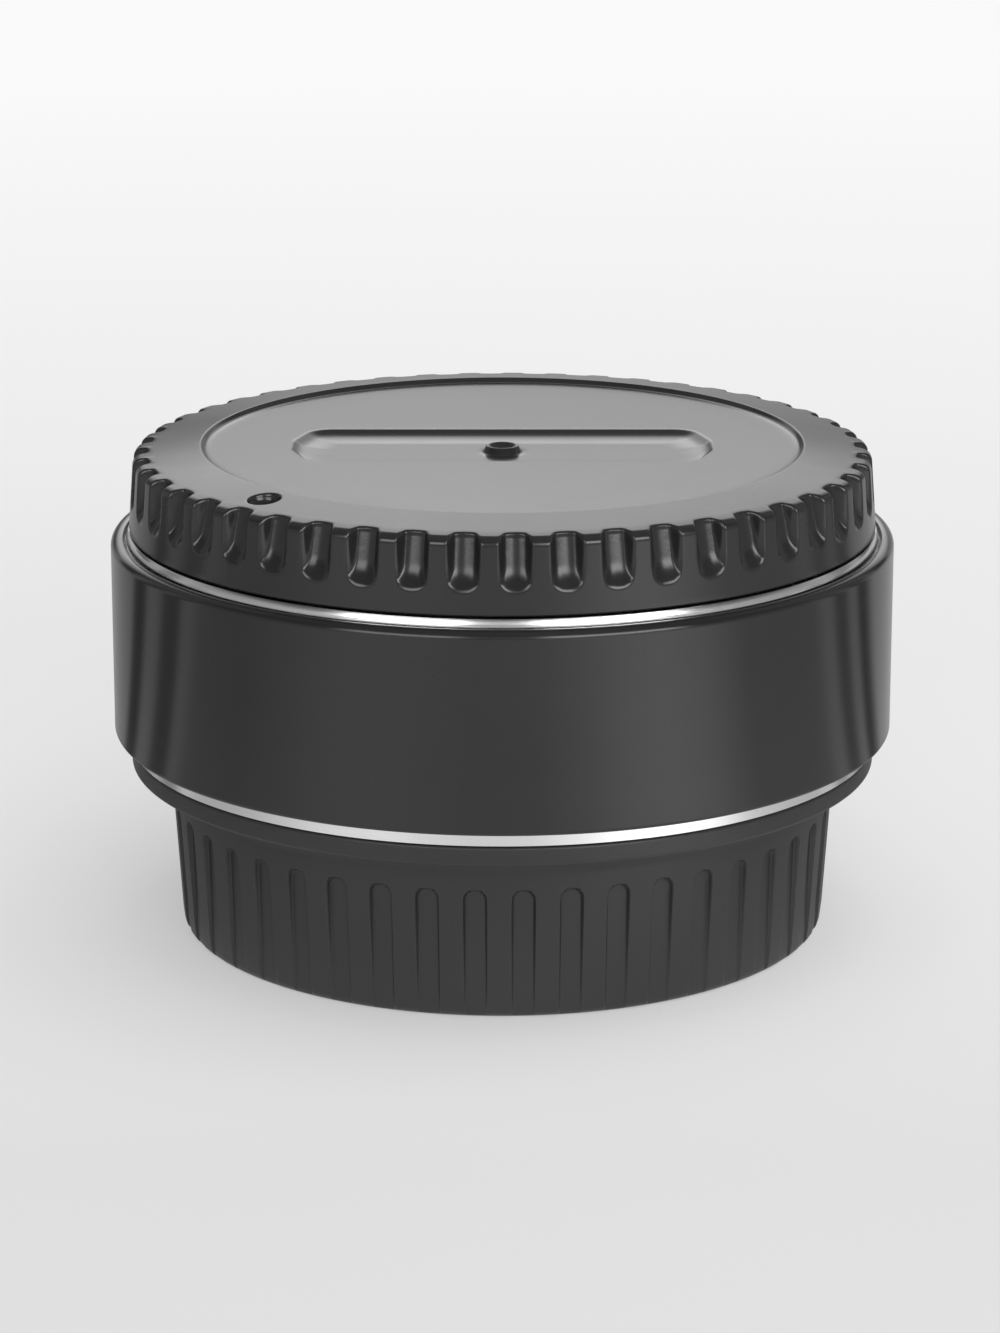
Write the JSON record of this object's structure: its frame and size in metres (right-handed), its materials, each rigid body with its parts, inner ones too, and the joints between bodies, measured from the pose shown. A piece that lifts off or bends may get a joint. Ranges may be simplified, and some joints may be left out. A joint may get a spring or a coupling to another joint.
{
  "type": "camera teleconverter",
  "caption": "Short black camera teleconverter with a bayonet mount at each end, standing on a fluted rear lens cap under a notched body cap.",
  "frame": {"origin": "on the optical axis, on the surface that the rear cap stands on", "axes": "+Z along the optical axis from the camera side to the lens side, -Y towards the side that the picture shows"},
  "size_m": [0.0676, 0.0682, 0.0426],
  "materials": {
    "rear_cap_plastic": "fine matte moulding",
    "body_cap_plastic": "satin moulding",
    "mount_plating": "satin plated, turned",
    "mount_screw_steel": "satin",
    "small_screw_steel": "blackened",
    "baffle_black": "dead matte",
    "contact_insulator": "fine matte",
    "contact_gilt": "gilt, polished",
    "chassis_alloy": "black anodised, machined",
    "barrel_coat": "black anodised, semi-gloss",
    "index_paint": "gloss",
    "leaf_steel": "bright rolled sheet",
    "coil_steel": "drawn wire",
    "board_laminate": "satin solder mask",
    "chip_resin": "matte",
    "cell_alloy": "black anodised, matte",
    "lens_glass": "polished and coated",
    "pin_steel": "polished",
    "carrier_alloy": "machined",
    "knob_coat": "black anodised, satin"
  },
  "bodies": {
    "rear_cap": {"rear_cap": "rear_cap_plastic"},
    "converter": {"rear_mount_ring": "mount_plating", "rear_mount_screws": "mount_screw_steel", "rear_light_baffle": "baffle_black", "rear_contact_block": "contact_insulator", "rear_contact_pads": "contact_gilt", "chassis": "chassis_alloy", "outer_barrel": "barrel_coat", "rear_index_dot": "index_paint", "front_mount_ring": "mount_plating", "front_mount_screws": "mount_screw_steel", "bayonet_spring": "leaf_steel", "front_index_dot": "index_paint", "throat_baffle": "baffle_black", "throat_baffle_screws": "small_screw_steel", "front_contact_block": "contact_insulator", "contact_pin_springs": "coil_steel", "contact_block_screws": "small_screw_steel", "circuit_board": "board_laminate", "control_chip": "chip_resin", "lens_cell": "cell_alloy", "cell_screws": "small_screw_steel", "front_element": "lens_glass", "doublet_front_element": "lens_glass", "doublet_rear_element": "lens_glass", "rear_element": "lens_glass", "element_spacer": "cell_alloy", "front_retaining_ring": "cell_alloy", "rear_retaining_ring": "cell_alloy", "lock_pin_spring": "coil_steel"},
    "body_cap": {"body_cap": "body_cap_plastic"},
    "lens_release": {"lock_pin": "pin_steel", "release_carrier": "carrier_alloy", "release_knob": "knob_coat", "release_knob_screw": "mount_screw_steel"},
    "contact_pins": {"front_contact_pins": "contact_gilt"}
  },
  "joints": [
    {"name": "converter_lift", "type": "slide", "parent": "rear_cap", "child": "converter", "axis": [0, 0, 1], "range_m": [0, 0.03]},
    {"name": "body_cap_lift", "type": "slide", "parent": "converter", "child": "body_cap", "axis": [0, 0, 1], "range_m": [0, 0.03]},
    {"name": "release_slide", "type": "slide", "parent": "converter", "child": "lens_release", "axis": [0, 0, -1], "range_m": [0, 0.0018], "stiffness_N_per_m": 400, "springref_m": -0.002, "deforming": ["lock_pin_spring"]},
    {"name": "contact_pins_press", "type": "slide", "parent": "converter", "child": "contact_pins", "axis": [0, 0, -1], "range_m": [0, 0.0008], "stiffness_N_per_m": 300, "springref_m": -0.0008, "deforming": ["contact_pin_springs"]}
  ]
}
